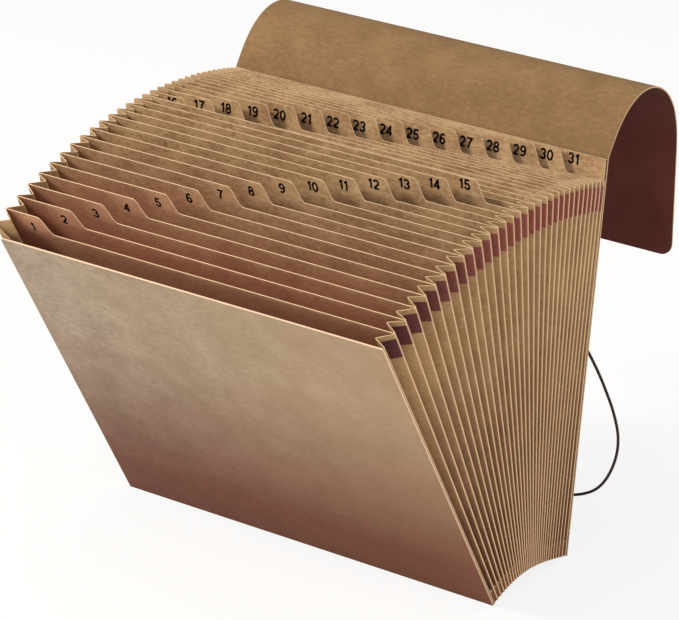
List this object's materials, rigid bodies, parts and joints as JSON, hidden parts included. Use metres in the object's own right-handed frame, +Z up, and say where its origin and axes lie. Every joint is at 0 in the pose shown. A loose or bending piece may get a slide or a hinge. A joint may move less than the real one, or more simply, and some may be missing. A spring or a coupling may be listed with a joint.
{
  "type": "expanding file folder",
  "caption": "Kraft accordion file standing open as a fan, with numbered day pockets, pleated side gussets, a curled lid flap and an elastic cord.",
  "frame": {"origin": "on the surface it stands on, under the middle of the file's box, without the cord", "axes": "+X along the pockets to the right edge, -Y towards the front panel, +Z up"},
  "size_m": [0.3107, 0.3384, 0.3022],
  "materials": {
    "kraft": "uncoated kraft paper",
    "kraft_board": "smooth pressed kraft board",
    "gusset_paper": "folded kraft paper",
    "tape_cloth": "dark red-brown reinforcing tape, slightly shiny",
    "flap_board": "kraft inside, dark maroon-brown outside",
    "elastic": "dark braided elastic",
    "eyelet_metal": "dull brass"
  },
  "bodies": {
    "file": {"front_panel": "kraft_board", "divider_01": "kraft", "divider_02": "kraft", "divider_03": "kraft", "divider_04": "kraft", "divider_05": "kraft", "divider_06": "kraft", "divider_07": "kraft", "divider_08": "kraft", "divider_09": "kraft", "divider_10": "kraft", "divider_11": "kraft", "divider_12": "kraft", "divider_13": "kraft", "divider_14": "kraft", "divider_15": "kraft", "divider_16": "kraft", "divider_17": "kraft", "divider_18": "kraft", "divider_19": "kraft", "divider_20": "kraft", "divider_21": "kraft", "divider_22": "kraft", "divider_23": "kraft", "divider_24": "kraft", "divider_25": "kraft", "divider_26": "kraft", "divider_27": "kraft", "divider_28": "kraft", "divider_29": "kraft", "divider_30": "kraft", "divider_31": "kraft", "bellows_gusset": "gusset_paper", "mouth_tape_right": "tape_cloth", "mouth_tape_left": "tape_cloth", "back_panel": "kraft_board", "cord_eyelet": "eyelet_metal", "elastic_cord": "elastic"},
    "flap": {"flap": "flap_board"}
  },
  "joints": [
    {"name": "flap_hinge", "type": "hinge", "parent": "file", "child": "flap", "pos_m": [0, 0.08433, 0.26853], "axis": [1, 0, 0], "range_deg": [0, 110]}
  ]
}
